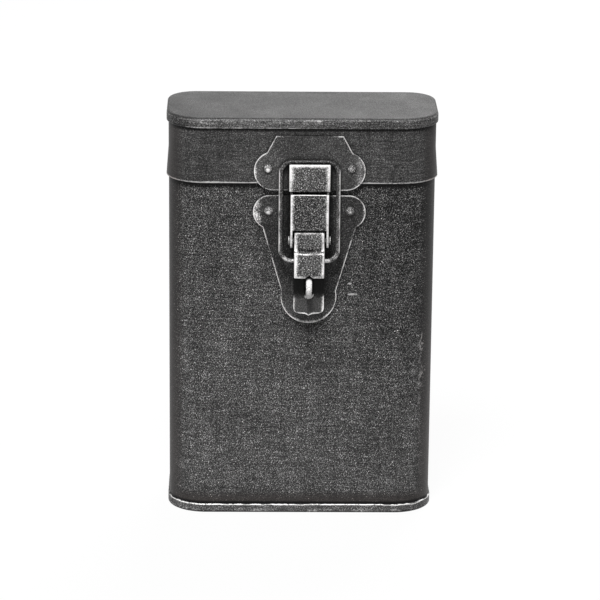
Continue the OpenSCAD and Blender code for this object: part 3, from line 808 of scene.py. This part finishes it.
class TIN_OT_steel(bpy.types.Operator):
    """Finishes the loop, the staple, the pins and the rivets"""

    bl_idname = "tin_box.steel"
    bl_label = "Loop, staple, pins and rivets"

    def execute(self, context):
        tone = wear().plate_tone
        self.loop(Finish("loop_wire"), tone + 0.07)
        steel = worn_tin(Finish("rivet_steel"), tone + 0.24, grain=0.6, streaks=0.0, size=0.7,
                         edge=SMALL_EDGE, bright=0.8, crevice=0.3)
        for node in ("lever_pin", "hinge_pin", "hinge_body_rivets", "hinge_lid_rivets"):
            dress(node, steel)
        for node in ("latch_base_rivets", "catch_plate_rivets"):
            self.rivets(Finish("hammered_" + node), node, tone + 0.20)
        staple = worn_tin(Finish("bright_staple"), STAPLE_TONE, grain=1.2, streaks=0.0, specks=0.0, size=0.8)
        dress("padlock_staple", staple)
        return {"FINISHED"}

    def loop(self, finish, tone):
        """Rubbed along its outer sides and at its lower end, darker along its upper bar."""
        low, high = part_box("wire_loop")
        height = finish.axis("Z")
        rub = side_rub(finish, "wire_loop", 1.5 * MM, front=False)
        rub = rub.larger(height.fall(low.z + 2.2 * MM, low.z + 6.5 * MM) * 0.7) * 0.94
        shade = height.rise(high.z - 2.5 * MM, high.z - 1.2 * MM) * -0.10
        dress("wire_loop", worn_tin(finish, tone, grain=0.7, streaks=0.0, size=0.9, rub=rub, bright=0.80,
                                    crevice=0.0, shade=shade))

    def rivets(self, finish, node, tone):
        """Both rivets of a plate: a painted highlight inside a dark edge of painted shade, the right one
        duller.
        """
        low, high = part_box(node)
        radius = (high.z - low.z) / 2
        middle = (low.x + high.x) / 2
        across = finish.axis("X")
        right = across.rise(middle - 1 * MM, middle + 1 * MM)
        beside = (abs(across - middle) - ((high.x - low.x) / 2 - radius)) / radius
        above = (finish.axis("Z") - (low.z + radius)) / radius
        # painted shade round the head's edge and a painted highlight just below its middle
        shade_ring = squared_reach(beside, above).rise(0.45, 0.95)
        highlight_spot = squared_reach(beside, above + 0.22).fall(0.0, 0.5)
        dress(node, worn_tin(finish, tone, grain=1.1, streaks=0.0, size=0.8, rub=highlight_spot * (0.85 - right * 0.4),
                             bright=0.9, crevice=0.2, shade=shade_ring * -0.22 - right * 0.05))


def area_lamp(name, place, width, power):
    """A square lamp that shines on the box."""
    data = bpy.data.lights.new(name, "AREA")
    data.shape = "RECTANGLE"
    data.size = width
    data.size_y = width
    data.energy = power
    lamp = bpy.data.objects.new(name, data)
    lamp.location = place
    lamp.rotation_euler = (Vector(LAMP_AIM) - Vector(place)).to_track_quat("-Z", "Y").to_euler()
    bpy.context.scene.collection.objects.link(lamp)
    return lamp


class TIN_OT_stage(bpy.types.Operator):
    """Builds the floor, the surround, the lamps and the camera"""

    bl_idname = "tin_box.stage"
    bl_label = "Stage"

    def execute(self, context):
        scene = context.scene
        s = scene.tin_stage
        self.floor(scene, s.floor_size)
        self.surround(scene, s.sky)
        area_lamp("key_lamp", KEY_PLACE, KEY_WIDTH, s.key_power)
        back = area_lamp("back_lamp", BACK_PLACE, BACK_WIDTH, s.back_power)
        back.visible_glossy = False
        self.camera(scene, s.lens)
        scene.view_settings.view_transform = "Standard"
        return {"FINISHED"}

    def floor(self, scene, size):
        """Paper that looks white but is lit as grey, so that it keeps a shadow and throws little back."""
        half = size / 2
        mesh = bpy.data.meshes.new("floor")
        corners = [(x * half, y * half, FLOOR_HEIGHT) for x, y in ((-1, -1), (1, -1), (1, 1), (-1, 1))]
        mesh.from_pydata(corners, [], [(0, 1, 2, 3)])
        floor = bpy.data.objects.new("floor", mesh)
        scene.collection.objects.link(floor)
        finish = Finish("floor_paper")
        seen = finish.ray_is("Is Camera Ray", "Is Glossy Ray", "Is Transmission Ray")
        matt = finish.node("ShaderNodeBsdfDiffuse", None, {"Color": FLOOR_GREY})
        glow = finish.node("ShaderNodeEmission", None, {"Color": WHITE, "Strength": FLOOR_GLOW})
        shaders = {0: seen * FLOOR_SEEN_SHARE, 1: matt.outputs[0], 2: glow.outputs[0]}
        mixed = finish.node("ShaderNodeMixShader", None, shaders)
        finish.node("ShaderNodeOutputMaterial", None, {0: mixed.outputs[0]})
        floor.data.materials.append(finish.material)

    def surround(self, scene, strength):
        """A world that looks white and lights the box softly."""
        scene.world = bpy.data.worlds.new("white_surround")
        nodes = Nodes(scene.world)
        plain = nodes.node("ShaderNodeBackground", None, {"Color": WHITE, "Strength": strength})
        white = nodes.node("ShaderNodeBackground", None, {"Color": WHITE, "Strength": 1.0})
        seen = nodes.ray_is("Is Camera Ray", "Is Glossy Ray")
        mixed = nodes.node("ShaderNodeMixShader", None, {0: seen, 1: plain.outputs[0], 2: white.outputs[0]})
        nodes.node("ShaderNodeOutputWorld", None, {0: mixed.outputs[0]})

    def camera(self, scene, lens):
        """The photo's camera: panned right, pitched down and rolled from a level view to the back."""
        pan, pitch, roll = (math.radians(turn) for turn in CAMERA_TURNS)
        right = Vector((math.cos(pan), -math.sin(pan), 0.0))
        level = Vector((math.sin(pan), math.cos(pan), 0.0))
        forward = level * math.cos(pitch) - Vector((0, 0, 1)) * math.sin(pitch)
        up = right.cross(forward)
        tilted_right = right * math.cos(roll) + up * math.sin(roll)
        tilted_up = up * math.cos(roll) - right * math.sin(roll)
        data = bpy.data.cameras.new("photo_camera")
        data.lens = lens
        data.sensor_width = 36.0
        data.clip_start = 0.01
        data.clip_end = 100.0
        camera = bpy.data.objects.new("photo_camera", data)
        columns = Matrix((tilted_right, tilted_up, -forward)).transposed()
        camera.matrix_world = Matrix.Translation(CAMERA_PLACE) @ columns.to_4x4()
        scene.collection.objects.link(camera)
        scene.camera = camera


class TIN_PT_panel(bpy.types.Panel):
    """Lists the settings and the operators of the tin box in the sidebar"""

    bl_label = "Tin box"
    bl_idname = "TIN_PT_panel"
    bl_space_type = "VIEW_3D"
    bl_region_type = "UI"
    bl_category = "Tin box"

    def draw(self, context):
        for group in (context.scene.tin_finish, context.scene.tin_stage):
            box = self.layout.box()
            for name in group.__annotations__:
                box.prop(group, name)
        for operator in OPERATORS:
            self.layout.operator(operator.bl_idname)


OPERATORS = (TIN_OT_walls, TIN_OT_lid, TIN_OT_plates, TIN_OT_pressings, TIN_OT_lever, TIN_OT_steel,
             TIN_OT_stage)
CLASSES = (TinFinishSettings, StageSettings, *OPERATORS, TIN_PT_panel)


def register():
    for item in CLASSES:
        bpy.utils.register_class(item)
    bpy.types.Scene.tin_finish = bpy.props.PointerProperty(type=TinFinishSettings)
    bpy.types.Scene.tin_stage = bpy.props.PointerProperty(type=StageSettings)


def unregister():
    del bpy.types.Scene.tin_stage
    del bpy.types.Scene.tin_finish
    for item in reversed(CLASSES):
        bpy.utils.unregister_class(item)


def main():
    register()
    for operator in OPERATORS:
        group, name = operator.bl_idname.split(".")
        getattr(getattr(bpy.ops, group), name)()


if __name__ == "__main__":
    main()
